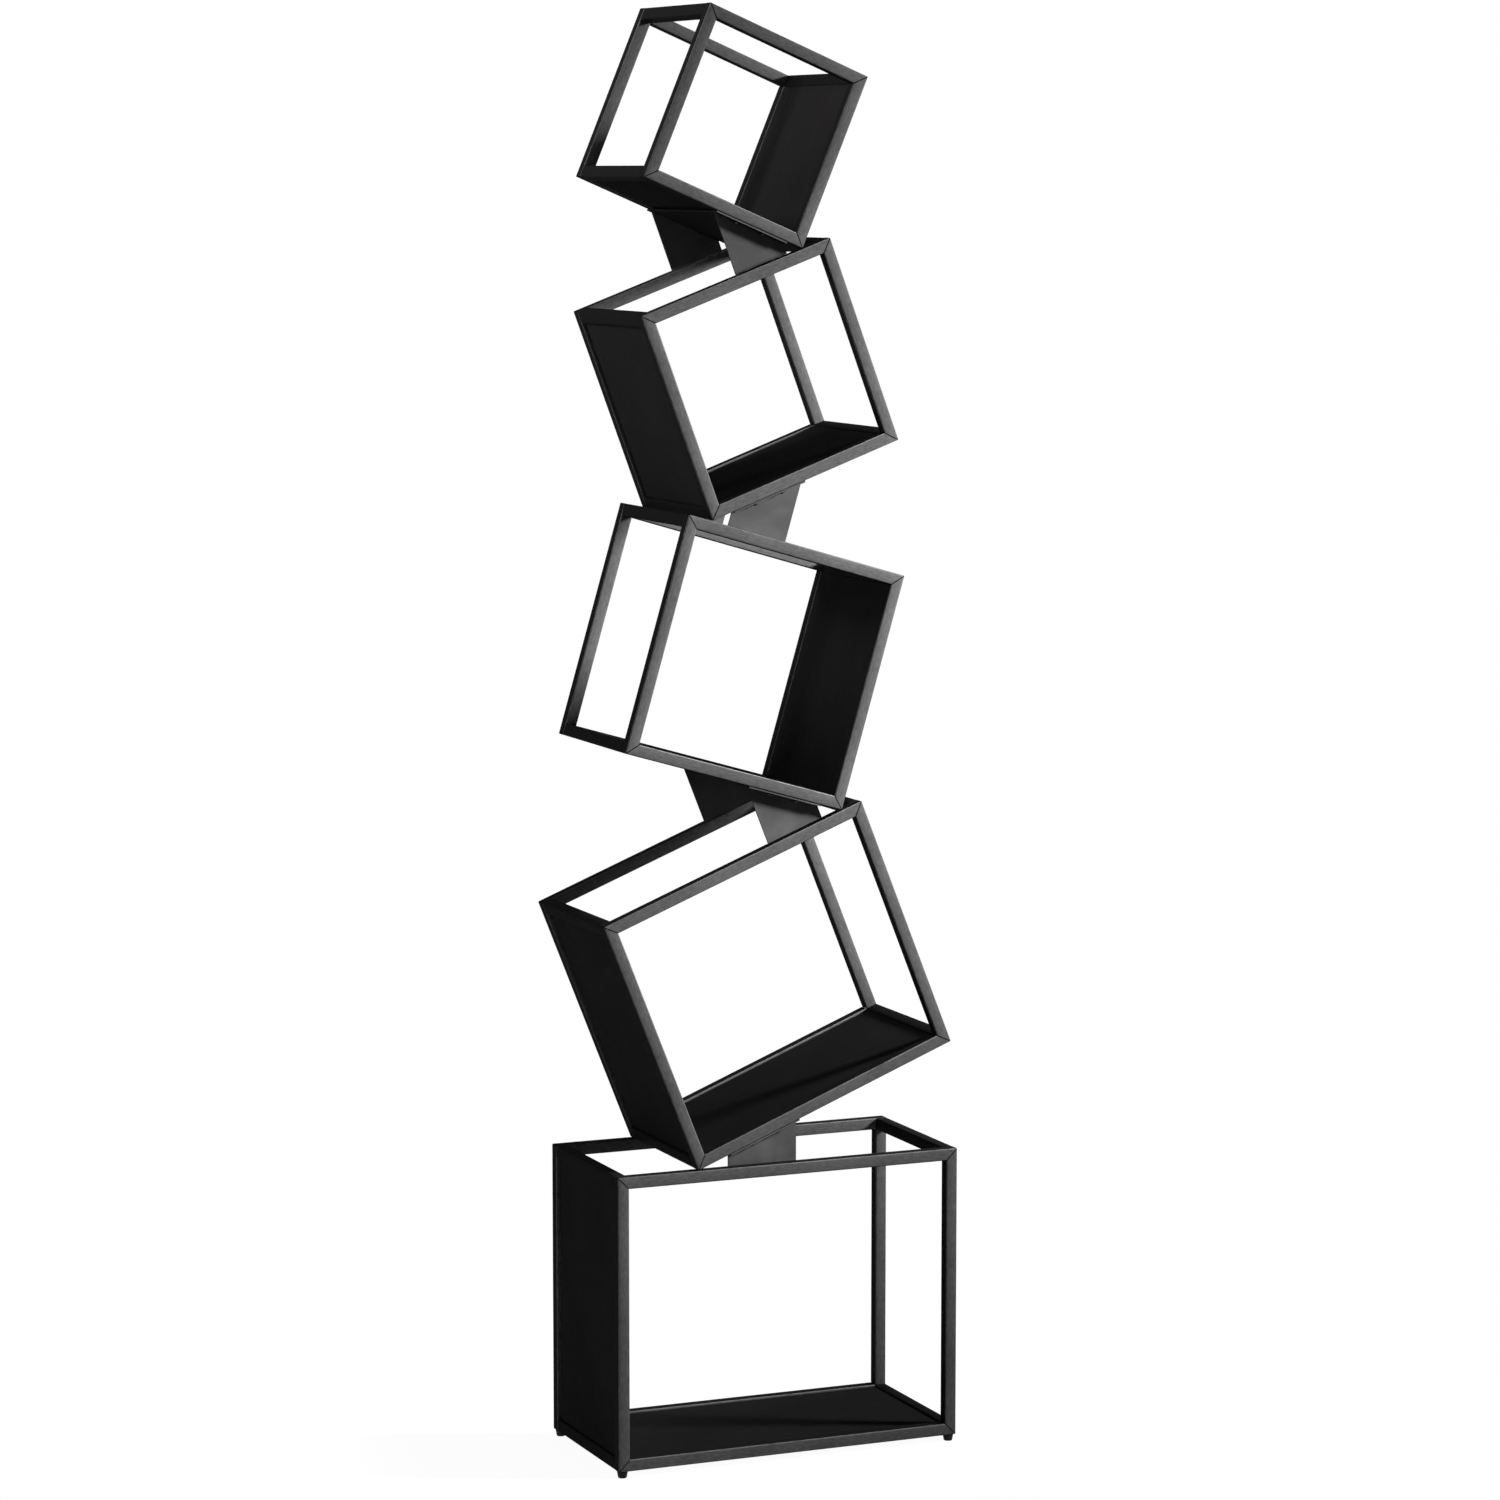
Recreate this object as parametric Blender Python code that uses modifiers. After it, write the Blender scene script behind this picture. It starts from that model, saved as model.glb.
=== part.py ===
"""Bookcase: five open boxes of square steel tube, each leaning on one corner over the box below.

Metres, +Z up. The front faces -Y and +X is to the right as seen from there. The origin is on the
floor, in the middle of the bookcase's width and depth.
"""

import math
from dataclasses import dataclass

import bmesh
import bpy
from mathutils import Matrix, Vector

# Outside width and height of each box
BOTTOM_WIDTH = 0.460
BOTTOM_HEIGHT = 0.370
SECOND_WIDTH = 0.370
SECOND_HEIGHT = 0.335
THIRD_WIDTH = 0.300
THIRD_HEIGHT = 0.300
FOURTH_WIDTH = 0.265
FOURTH_HEIGHT = 0.265
TOP_WIDTH = 0.225
TOP_HEIGHT = 0.225

# From the end of the box below to the corner that a box stands on, at the same side
SECOND_STANDS_IN = 0.107
THIRD_STANDS_IN = 0.0285
FOURTH_STANDS_IN = 0.032
TOP_STANDS_IN = 0.039

# Along a box's underside, from the corner that it stands on to its bracket
SECOND_TO_BRACKET = 0.0465
THIRD_TO_BRACKET = 0.029
FOURTH_TO_BRACKET = 0.031
TOP_TO_BRACKET = 0.0215

# Square tube of the frames
TUBE = 0.015
TUBE_WALL = 0.0012
TUBE_CORNER = 0.0015
CORNER_SEGMENTS = 2

# Clearance between neighbours that touch on the real bookcase
FIT = 0.0003

# Front to back, over both frames
DEPTH = 0.228

# Vent hole in a frame's corner, inside the depth rail that meets it
VENT_RADIUS = 0.0035
VENT_SIDES = 12

# Boards let into the bottom and one side of each box
BOARD = 0.009
BOARD_EDGE = 0.0005
SHELF_BELOW_TUBE_TOP = 0.0025
SIDE_BEHIND_TUBE_FACE = 0.005

# Brackets between the boxes
SHEET = 0.002
PLATE_LENGTH = 0.100
PLATE_BEHIND_FRONT = 0.001
GUSSET_INSIDE_PLATE = 0.0005
GUSSET_BEHIND_TUBE = TUBE_CORNER

# Screws that hold a bracket to the box above it
SCREW_SPACING = 0.0375
SHANK_RADIUS = 0.002
SHANK_LENGTH = 0.009
HEAD_RADIUS = 0.00325
HEAD_HEIGHT = 0.0024
HEAD_ROUND = 0.0008
ROUND_SIDES = 16

# Levelling feet and the inserts that they screw into
FOOT_HEIGHT = 0.0085
FOOT_TOP_RADIUS = 0.0068
FOOT_BOTTOM_RADIUS = 0.0055
FOOT_ROUND = 0.0008
FOOT_RECESS = 0.0012
FOOT_SIDES = 24
STEM_RADIUS = 0.003
STEM_LENGTH = 0.016
INSERT_WALL = 0.0013
INSERT_LENGTH = 0.009
FLANGE_OVERHANG = 0.0009
FLANGE_THICKNESS = 0.0006

# How far a cutter runs past the wall that it cuts
CUT_PAST = 0.002

# Points closer than this are one point
MERGE = 0.000001


@dataclass(frozen=True)
class Box:
    """One open box. Lengths are in metres, and the lean is in degrees, anticlockwise from the front."""

    name: str
    width: float
    height: float
    lean: float
    panel_on_left: bool
    stands_in: float = 0.0
    bracket_start: float = 0.0

    @property
    def away(self):
        """Which way along X the underside rises: 1 from the left corner, -1 from the right one."""
        return 1 if self.lean >= 0 else -1

    @property
    def stood_on(self):
        """X of the corner that the box stands on, in the box's own frame."""
        return 0.0 if self.away > 0 else self.width

    def under(self, distance):
        """X of a point on the underside, this far from the corner that the box stands on."""
        return self.stood_on + self.away * distance


BOXES = (
    Box("bottom_box", BOTTOM_WIDTH, BOTTOM_HEIGHT, 0.0, True),
    Box(
        "second_box",
        SECOND_WIDTH,
        SECOND_HEIGHT,
        21.8,
        True,
        SECOND_STANDS_IN,
        SECOND_TO_BRACKET,
    ),
    Box(
        "third_box",
        THIRD_WIDTH,
        THIRD_HEIGHT,
        -16.3,
        False,
        THIRD_STANDS_IN,
        THIRD_TO_BRACKET,
    ),
    Box(
        "fourth_box",
        FOURTH_WIDTH,
        FOURTH_HEIGHT,
        20.5,
        True,
        FOURTH_STANDS_IN,
        FOURTH_TO_BRACKET,
    ),
    Box(
        "top_box",
        TOP_WIDTH,
        TOP_HEIGHT,
        -22.7,
        False,
        TOP_STANDS_IN,
        TOP_TO_BRACKET,
    ),
)


def clear_scene():
    """Removes the objects of the scene that Blender starts with."""
    for obj in list(bpy.data.objects):
        bpy.data.objects.remove(obj, do_unlink=True)


def new_collection(name):
    collection = bpy.data.collections.new(name)
    bpy.context.scene.collection.children.link(collection)
    return collection


def new_material(name, colour, metallic, roughness):
    """A Principled material of one colour."""
    material = bpy.data.materials.new(name)
    material.use_nodes = True
    shader = material.node_tree.nodes["Principled BSDF"]
    shader.inputs["Base Color"].default_value = (*colour, 1.0)
    shader.inputs["Metallic"].default_value = metallic
    shader.inputs["Roughness"].default_value = roughness
    return material


def add_object(name, data, collection, parent, place=None):
    """Adds an object to a collection, at a place in its parent's frame."""
    obj = bpy.data.objects.new(name, data)
    collection.objects.link(obj)
    obj.parent = parent
    obj.matrix_basis = place or Matrix()
    return obj


def add_cutter(name, bm, parent):
    """Makes a hidden helper from a bmesh, for a Boolean to use."""
    mesh = bpy.data.meshes.new(name)
    bm.to_mesh(mesh)
    bm.free()
    cutter = add_object(name, mesh, cutters, parent)
    cutter.hide_render = True
    cutter.display_type = "WIRE"
    return cutter


def add_boolean(obj, other, operation):
    modifier = obj.modifiers.new(operation.title(), "BOOLEAN")
    modifier.operation = operation
    modifier.object = other
    modifier.solver = "EXACT"


def add_cuboid(bm, low, high):
    """Adds a box between two corners and returns its faces."""
    low, high = Vector(low), Vector(high)
    size = high - low
    place = Matrix.Translation((low + high) / 2) @ Matrix.Diagonal((*size, 1.0))
    made = bmesh.ops.create_cube(bm, size=1.0, matrix=place)
    return list({face for vert in made["verts"] for face in vert.link_faces})


def add_cylinder(bm, centre, axis, radius, length, sides):
    """Adds a closed cylinder on a centre point, along X, Y or Z."""
    turn = Vector(axis).to_track_quat("Z", "Y").to_matrix().to_4x4()
    bmesh.ops.create_cone(
        bm,
        cap_ends=True,
        segments=sides,
        radius1=radius,
        radius2=radius,
        depth=length,
        matrix=Matrix.Translation(centre) @ turn,
    )


def cut_through(bm, faces, margin):
    """Opens a solid along Y, leaving a margin all round: both end faces are inset and joined."""
    ends = [face for face in faces if abs(face.normal.y) > 0.5]
    bmesh.ops.inset_individual(bm, faces=ends, thickness=margin, use_even_offset=True)
    rims = [edge for face in ends for edge in face.edges]
    bmesh.ops.delete(bm, geom=ends, context="FACES_ONLY")
    bmesh.ops.bridge_loops(bm, edges=rims)


def round_edges(bm, edges, radius):
    bmesh.ops.bevel(
        bm,
        geom=edges,
        offset=radius,
        segments=CORNER_SEGMENTS,
        profile=0.5,
        affect="EDGES",
    )


def edges_of(faces):
    return {edge for face in faces for edge in face.edges}


def add_ring_skin(bm, width, height, inset):
    """Adds the closed skin of four mitred tubes, drawn in by the inset, and returns its faces."""
    before = set(bm.faces)
    low = (inset, inset, inset)
    high = (width - inset, TUBE - inset, height - inset)
    block = add_cuboid(bm, low, high)
    bm.normal_update()
    cut_through(bm, block, TUBE - 2 * inset)
    skin = [face for face in bm.faces if face not in before]
    bmesh.ops.recalc_face_normals(bm, faces=skin)
    bm.normal_update()
    along_tubes = [
        edge
        for edge in edges_of(skin)
        if sum(abs(face.normal.y) > 0.5 for face in edge.link_faces) == 1
    ]
    if TUBE_CORNER > inset:
        round_edges(bm, along_tubes, TUBE_CORNER - inset)
    return [face for face in bm.faces if face not in before]


def hollow_ring(name, width, height):
    """The mesh of a welded rectangle of square tube, standing on Z = 0 with its front at Y = 0."""
    bm = bmesh.new()
    add_ring_skin(bm, width, height, 0.0)
    cavity = add_ring_skin(bm, width, height, TUBE_WALL)
    bmesh.ops.reverse_faces(bm, faces=cavity)
    mesh = bpy.data.meshes.new(name)
    bm.to_mesh(mesh)
    bm.free()
    return mesh


def rail_mesh(length):
    """The mesh of an open square tube along +Y, on its centre line."""
    bm = bmesh.new()
    half = TUBE / 2
    block = add_cuboid(bm, (-half, 0.0, -half), (half, length, half))
    along = [edge for edge in edges_of(block) if edge.calc_length() > TUBE + FIT]
    round_edges(bm, along, TUBE_CORNER)
    bm.normal_update()
    cut_through(bm, bm.faces, TUBE_WALL)
    bmesh.ops.recalc_face_normals(bm, faces=bm.faces)
    mesh = bpy.data.meshes.new("depth_rail")
    bm.to_mesh(mesh)
    bm.free()
    return mesh


def add_wall_hole(bm, centre, axis, radius, sides):
    """Adds a cutter for a round hole in one wall of a tube, centred on the wall's outer face."""
    add_cylinder(bm, centre, axis, radius, 2 * (TUBE_WALL + CUT_PAST), sides)


def frame_holes(box, vents_at, name, parent):
    """The cutter for one frame: its vents, and below them the holes for inserts or bracket screws."""
    bm = bmesh.new()
    middle = TUBE / 2
    for x in (middle, box.width - middle):
        for z in (middle, box.height - middle):
            add_wall_hole(bm, (x, vents_at, z), (0, 1, 0), VENT_RADIUS, VENT_SIDES)
    on_feet = box is BOXES[0]
    places = foot_places(box) if on_feet else screw_places(box)
    radius = insert_radius() if on_feet else SHANK_RADIUS
    for x in places:
        add_wall_hole(bm, (x, middle, 0), (0, 0, 1), radius + FIT, ROUND_SIDES)
    return add_cutter(name, bm, parent)


def add_frame(box, place, is_front):
    """One welded rectangle of a box, with its holes."""
    name = f"{box.name}_{'front' if is_front else 'back'}_frame"
    frame = add_object(name, hollow_ring(name, box.width, box.height), parts, place)
    vents_at = TUBE if is_front else 0.0
    holes = frame_holes(box, vents_at, f"{name}_holes", place)
    if not is_front:
        frame.location.y = DEPTH - TUBE
        holes.location.y = DEPTH - TUBE
    add_boolean(frame, holes, "DIFFERENCE")
    frame.data.materials.append(steel)


def add_rails(box, place, mesh):
    """The four depth rails at the corners of a box."""
    middle = TUBE / 2
    for side, x in (("left", middle), ("right", box.width - middle)):
        for level, z in (("bottom", middle), ("top", box.height - middle)):
            rail = add_object(f"{box.name}_{level}_{side}_rail", mesh, parts, place)
            rail.location = (x, TUBE + FIT, z)


def add_board(name, low, high, place):
    """A flat board between two corners, with its edges eased."""
    bm = bmesh.new()
    add_cuboid(bm, low, high)
    mesh = bpy.data.meshes.new(name)
    bm.to_mesh(mesh)
    bm.free()
    mesh.materials.append(board_paint)
    board = add_object(name, mesh, parts, place)
    bevel = board.modifiers.new("Eased edges", "BEVEL")
    bevel.width = BOARD_EDGE
    bevel.segments = 1


def add_boards(box, place):
    """The shelf in the bottom of a box, and the panel in its closed side."""
    near = TUBE + FIT
    top = TUBE - SHELF_BELOW_TUBE_TOP
    add_board(
        f"{box.name}_shelf",
        (near, near, top - BOARD),
        (box.width - near, DEPTH - near, top),
        place,
    )
    outer = SIDE_BEHIND_TUBE_FACE
    if not box.panel_on_left:
        outer = box.width - SIDE_BEHIND_TUBE_FACE - BOARD
    add_board(
        f"{box.name}_side_panel",
        (outer, near, near),
        (outer + BOARD, DEPTH - near, box.height - near),
        place,
    )


def screw_places(box):
    """X of the two screws of a row in a box's underside."""
    centre = box.bracket_start + PLATE_LENGTH / 2
    return [box.under(centre + step * SCREW_SPACING / 2) for step in (-1, 1)]


def gusset_outline(box, lower):
    """Corners of a gusset, in X and Z of the upper box: square to the lower box at both sides."""
    wedge = math.radians(abs(box.lean - lower.lean))
    corner = Vector((box.stood_on, 0.0))
    along = Vector((box.away * math.cos(wedge), -math.sin(wedge)))
    in_plate = -FIT - SHEET / 2
    start = box.bracket_start + GUSSET_INSIDE_PLATE
    end = box.bracket_start + PLATE_LENGTH - GUSSET_INSIDE_PLATE
    tops = [Vector((box.under(distance), in_plate)) for distance in (start, end)]
    seats = [corner + along * (top - corner).dot(along) for top in tops]
    return [tops[0], tops[1], seats[1], seats[0]]


def gusset_mesh(name, outline):
    """A flat plate with this outline in X and Z, its middle plane at Y = 0."""
    curve = bpy.data.curves.new(name, "CURVE")
    curve.dimensions = "2D"
    curve.fill_mode = "BOTH"
    curve.extrude = SHEET / 2
    spline = curve.splines.new("POLY")
    spline.points.add(len(outline) - 1)
    spline.use_cyclic_u = True
    for point, corner in zip(spline.points, outline):
        point.co = (corner.x, corner.y, 0.0, 1.0)
    drawn = bpy.data.objects.new(name, curve)
    cutters.objects.link(drawn)
    graph = bpy.context.evaluated_depsgraph_get()
    mesh = bpy.data.meshes.new_from_object(drawn.evaluated_get(graph))
    bpy.data.objects.remove(drawn, do_unlink=True)
    bm = bmesh.new()
    bm.from_mesh(mesh)
    bmesh.ops.remove_doubles(bm, verts=bm.verts, dist=MERGE)
    bmesh.ops.rotate(bm, verts=bm.verts, matrix=Matrix.Rotation(math.pi / 2, 3, "X"))
    bmesh.ops.recalc_face_normals(bm, faces=bm.faces)
    bm.to_mesh(mesh)
    bm.free()
    return mesh


def add_gusset(bracket, name, outline, y, place):
    """Joins one gusset to a bracket's plate, with its middle plane at this Y."""
    gusset = add_object(name, gusset_mesh(name, outline), cutters, place)
    gusset.location.y = y
    gusset.hide_render = True
    gusset.display_type = "WIRE"
    add_boolean(bracket, gusset, "UNION")


def add_bracket(box, lower, place):
    """The welded bracket in the wedge under a box: a plate and two gussets."""
    name = f"{box.name}_bracket"
    bm = bmesh.new()
    ends = sorted(box.under(box.bracket_start + step) for step in (0.0, PLATE_LENGTH))
    near, far = PLATE_BEHIND_FRONT, DEPTH - PLATE_BEHIND_FRONT
    add_cuboid(bm, (ends[0], near, -FIT - SHEET), (ends[1], far, -FIT))
    mesh = bpy.data.meshes.new(name)
    bm.to_mesh(mesh)
    bm.free()
    mesh.materials.append(steel)
    bracket = add_object(name, mesh, parts, place)
    outline = gusset_outline(box, lower)
    from_end = TUBE - GUSSET_BEHIND_TUBE - SHEET / 2
    add_gusset(bracket, f"{name}_front_gusset", outline, from_end, place)
    add_gusset(bracket, f"{name}_back_gusset", outline, DEPTH - from_end, place)
    bm = bmesh.new()
    for x in screw_places(box):
        for y in (TUBE / 2, DEPTH - TUBE / 2):
            centre = (x, y, -FIT - SHEET / 2)
            through = SHEET + 2 * CUT_PAST
            add_cylinder(bm, centre, (0, 0, 1), SHANK_RADIUS + FIT, through, ROUND_SIDES)
    add_boolean(bracket, add_cutter(f"{name}_screw_holes", bm, place), "DIFFERENCE")


def turned_mesh(name, profile, material):
    """A profile of radius and Z pairs, top to bottom down the outer side, for a Screw modifier."""
    bm = bmesh.new()
    verts = [bm.verts.new((radius, 0.0, z)) for radius, z in profile]
    for first, second in zip(verts, verts[1:]):
        bm.edges.new((first, second))
    mesh = bpy.data.meshes.new(name)
    bm.to_mesh(mesh)
    bm.free()
    mesh.materials.append(material)
    return mesh


def turn(obj, sides):
    """Turns an object's profile about its Z axis."""
    modifier = obj.modifiers.new("Turned", "SCREW")
    modifier.axis = "Z"
    modifier.angle = 2 * math.pi
    modifier.steps = sides
    modifier.render_steps = sides
    modifier.use_merge_vertices = True
    modifier.merge_threshold = MERGE
    modifier.use_smooth_shade = True


def screw_profile():
    """Pan-head screw, head down, with the seat of its head at Z = 0."""
    turn_in = HEAD_RADIUS - HEAD_ROUND
    return [
        (0.0, SHANK_LENGTH),
        (SHANK_RADIUS, SHANK_LENGTH),
        (SHANK_RADIUS, 0.0),
        (HEAD_RADIUS, 0.0),
        (HEAD_RADIUS, HEAD_ROUND - HEAD_HEIGHT),
        (turn_in, -HEAD_HEIGHT),
        (0.0, -HEAD_HEIGHT),
    ]


def add_screws(box, place, mesh):
    """The front pair of screws of a bracket. The back pair is alike and is left to the finished look."""
    seat = -FIT - SHEET - FIT
    for end, x in zip(("inner", "outer"), screw_places(box)):
        screw = add_object(f"{box.name}_bracket_{end}_screw", mesh, parts, place)
        screw.location = (x, TUBE / 2, seat)
        turn(screw, ROUND_SIDES)


def foot_places(box):
    """X of the two feet under one frame."""
    return [TUBE / 2, box.width - TUBE / 2]


def insert_radius():
    return STEM_RADIUS + FIT + INSERT_WALL


def flange_radius():
    return insert_radius() + FLANGE_OVERHANG


def insert_profile():
    """Flanged sleeve: the closed outline of its wall, with the tube's underside at Z = 0."""
    bore = STEM_RADIUS + FIT
    return [
        (insert_radius(), INSERT_LENGTH),
        (insert_radius(), -FIT),
        (flange_radius(), -FIT),
        (flange_radius(), -FIT - FLANGE_THICKNESS),
        (bore, -FIT - FLANGE_THICKNESS),
        (bore, INSERT_LENGTH),
    ]


def foot_profile():
    """Tapered pad with a stem, with the tube's underside at Z = 0."""
    top = -FIT
    recess = flange_radius() + FIT
    round_in = FOOT_BOTTOM_RADIUS - FOOT_ROUND
    return [
        (0.0, STEM_LENGTH),
        (STEM_RADIUS, STEM_LENGTH),
        (STEM_RADIUS, top - FOOT_RECESS),
        (recess, top - FOOT_RECESS),
        (recess, top),
        (FOOT_TOP_RADIUS, top),
        (FOOT_BOTTOM_RADIUS, FOOT_ROUND - FOOT_HEIGHT),
        (round_in, -FOOT_HEIGHT),
        (0.0, -FOOT_HEIGHT),
    ]


def add_feet(box, place):
    """Four levelling feet under a box, each with the threaded insert that holds it."""
    foot_shape = turned_mesh("levelling_foot", foot_profile(), rubber)
    insert_shape = turned_mesh("threaded_insert", insert_profile(), zinc)
    close_profile(insert_shape)
    for side, x in zip(("left", "right"), foot_places(box)):
        for end, y in (("front", TUBE / 2), ("back", DEPTH - TUBE / 2)):
            foot = add_object(f"levelling_foot_{end}_{side}", foot_shape, parts, place)
            insert = add_object(f"threaded_insert_{end}_{side}", insert_shape, parts, place)
            foot.location = (x, y, 0.0)
            insert.location = (x, y, 0.0)
            turn(foot, FOOT_SIDES)
            turn(insert, ROUND_SIDES)


def close_profile(mesh):
    """Joins the last point of a profile to its first."""
    bm = bmesh.new()
    bm.from_mesh(mesh)
    bm.verts.ensure_lookup_table()
    bm.edges.new((bm.verts[-1], bm.verts[0]))
    bm.to_mesh(mesh)
    bm.free()


def stand(box):
    """Turns a box by its lean about the corner that it stands on, which goes to the origin."""
    lean = Matrix.Rotation(-math.radians(box.lean), 4, "Y")
    return lean @ Matrix.Translation((-box.stood_on, 0.0, 0.0))


def box_places():
    """World matrices of the boxes, with the whole bookcase centred over the origin."""
    places = [Matrix.Translation((0.0, -DEPTH / 2, FOOT_HEIGHT)) @ stand(BOXES[0])]
    for lower, box in zip(BOXES, BOXES[1:]):
        seat_x = box.stands_in if box.away > 0 else lower.width - box.stands_in
        seat = places[-1] @ Vector((seat_x, 0.0, lower.height))
        clear = places[-1].to_3x3() @ Vector((0.0, 0.0, FIT))
        places.append(Matrix.Translation(seat + clear) @ stand(box))
    corners = [
        (place @ Vector((x, 0.0, z))).x
        for place, box in zip(places, BOXES)
        for x in (0.0, box.width)
        for z in (0.0, box.height)
    ]
    centre = Matrix.Translation((-(min(corners) + max(corners)) / 2, 0.0, 0.0))
    return [centre @ place for place in places]


def add_box(box, world, rail, screw):
    """Everything that belongs to one box, under an empty at its bottom left front corner."""
    place = add_object(f"{box.name}_place", None, parts, None, world)
    add_frame(box, place, True)
    add_frame(box, place, False)
    add_rails(box, place, rail)
    add_boards(box, place)
    if box is BOXES[0]:
        add_feet(box, place)
        return
    add_bracket(box, BOXES[BOXES.index(box) - 1], place)
    add_screws(box, place, screw)


clear_scene()
parts = new_collection("bookcase")
cutters = new_collection("bookcase_cutters")
steel = new_material("blackened_steel", (0.045, 0.045, 0.047), 0.9, 0.42)
board_paint = new_material("black_board", (0.012, 0.011, 0.012), 0.0, 0.5)
rubber = new_material("black_foot", (0.01, 0.01, 0.01), 0.0, 0.6)
zinc = new_material("zinc_plate", (0.5, 0.5, 0.5), 1.0, 0.35)
rail_shape = rail_mesh(DEPTH - 2 * (TUBE + FIT))
rail_shape.materials.append(steel)
screw_shape = turned_mesh("bracket_screw", screw_profile(), steel)
for each, world_matrix in zip(BOXES, box_places()):
    add_box(each, world_matrix, rail_shape, screw_shape)
bpy.context.view_layer.update()
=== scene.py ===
"""Dresses the bookcase: five open boxes of square steel tube, each leaning on the box below.

Metres, +Z up. The front faces -Y and +X is to the right as seen from there. A new piece stands
where its CAD node stands, if it has one, and is made from the same sizes.
"""

from __future__ import annotations

import logging
import math
from dataclasses import dataclass
from enum import Enum
from functools import cache
from itertools import product
from typing import Iterable, Iterator

import bmesh
import bpy
from bmesh.types import BMEdge, BMesh, BMFace, BMLoop, BMVert
from bpy.types import ID, Material, Node, NodeSocket, NodeTree, Object, World
from mathutils import Matrix, Vector

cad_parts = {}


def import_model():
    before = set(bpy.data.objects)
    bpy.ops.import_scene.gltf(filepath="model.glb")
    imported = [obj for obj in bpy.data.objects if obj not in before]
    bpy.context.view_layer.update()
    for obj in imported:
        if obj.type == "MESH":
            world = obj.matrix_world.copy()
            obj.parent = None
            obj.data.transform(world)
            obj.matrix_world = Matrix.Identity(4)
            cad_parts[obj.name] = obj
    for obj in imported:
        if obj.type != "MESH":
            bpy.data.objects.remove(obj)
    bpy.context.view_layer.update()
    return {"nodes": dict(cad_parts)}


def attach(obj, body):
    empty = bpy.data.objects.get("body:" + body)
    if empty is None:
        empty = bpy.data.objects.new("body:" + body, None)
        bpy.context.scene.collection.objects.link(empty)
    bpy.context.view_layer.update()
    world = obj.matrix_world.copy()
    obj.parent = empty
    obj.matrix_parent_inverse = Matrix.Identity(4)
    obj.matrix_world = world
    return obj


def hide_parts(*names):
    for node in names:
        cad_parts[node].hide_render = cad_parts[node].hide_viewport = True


LOG = logging.getLogger("bookcase")

BODY = "bookcase"

# Sizes that the whole bookcase shares, in metres
DEPTH = 0.228
FOOT_HEIGHT = 0.0085
CLEARANCE = 0.0003

# Names of the mesh data that the finishes read
FLOW_MAP = "flow"
# The middle of each rounded edge, which carries the painted edge highlight
RIM_MASK = "rim"
JOINT_MASK = "joint"

# Painted edge highlights go on the edges that face the key light: upwards and to the right
HIGHLIGHT_SIDE = Vector((0.6, 0.0, 0.8))
# How fast the painted highlight comes on as an edge turns towards that side
HIGHLIGHT_ONSET = 2.0

# Points nearer than this count as one
TOLERANCE = 1e-6
# An edge that points along an axis by more than this runs along it
RUNS_ALONG = 0.9
# A tube's square or mitred ends face along it by more than this, and its sides not at all
FACES_ALONG = 0.6

# The band that most of a noise lies in
NOISE_BAND = (0.3, 0.7)
# Where the two colours and the mixed one stand among the sockets of a Mix node
MIX_COLOURS = slice(6, 8)
MIXED_COLOUR = 2

Colour = tuple[float, float, float]
Point = tuple[float, float, float]
Profile = list[tuple[float, float]]

WHITE = (1.0, 1.0, 1.0)


class Slot(Enum):
    """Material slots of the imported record."""

    STEEL = "blackened_steel"
    BOARD = "black_board"
    FOOT = "black_foot"
    ZINC = "zinc_plate"


class Pattern(Enum):
    """The two patterns of a sprayed or plated coat."""

    GRAIN = "Grain"
    CLOUD = "Cloud"


class End(Enum):
    """The two frames of a box."""

    FRONT = "front"
    BACK = "back"


class Side(Enum):
    """The two sides of a box, as seen from the front."""

    LEFT = "left"
    RIGHT = "right"


class Level(Enum):
    """The bottom and the top of a box."""

    BOTTOM = "bottom"
    TOP = "top"


# Node trees


class Wiring:
    """A node tree under construction."""

    def __init__(self, tree: NodeTree) -> None:
        """Takes the tree to build in."""
        self.tree = tree

    def plug(self, socket: NodeSocket, source: object) -> None:
        """Links an input to an output, or gives it a value of its own.

        Args:
            socket: The input to fill.
            source: An output socket or the value, which is three numbers for a colour.
        """
        if isinstance(source, NodeSocket):
            self.tree.links.new(source, socket)
        else:
            socket.default_value = (*source, 1.0) if socket.type == "RGBA" else source

    def fill(self, node: Node, **settings: object) -> Node:
        """Sets properties of a node and fills its inputs.

        Args:
            node: The node.
            **settings: Its properties, then sockets or values for its inputs. An input's name
                starts with a capital and has underscores for spaces.

        Returns:
            The node.
        """
        for name, value in settings.items():
            if name[0].islower():
                setattr(node, name, value)
            else:
                self.plug(node.inputs[name.replace("_", " ")], value)
        return node

    def add(self, kind: str, **settings: object) -> Node:
        """Adds a node of a kind, fills it and returns it."""
        return self.fill(self.tree.nodes.new(kind), **settings)

    def math(self, operation: str, first: object, second: object) -> NodeSocket:
        """Adds a Math node.

        Args:
            operation: What it does with its two terms.
            first: The first term, a socket or a number.
            second: The second term.

        Returns:
            The socket of the outcome.
        """
        node = self.add("ShaderNodeMath", operation=operation)
        self.plug(node.inputs[0], first)
        self.plug(node.inputs[1], second)
        return node.outputs["Value"]

    def spread(self, value: NodeSocket, low: float, high: float) -> NodeSocket:
        """Stretches the range from low to high over 0 to 1, with soft ends."""
        node = self.add("ShaderNodeMapRange", interpolation_type="SMOOTHSTEP", Value=value)
        return self.fill(node, From_Min=low, From_Max=high).outputs["Result"]

    def between(self, factor: NodeSocket, low: float, high: float) -> NodeSocket:
        """A number that goes from low to high as the factor goes from 0 to 1."""
        node = self.add("ShaderNodeMapRange", Value=factor, To_Min=low, To_Max=high)
        return node.outputs["Result"]


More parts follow.
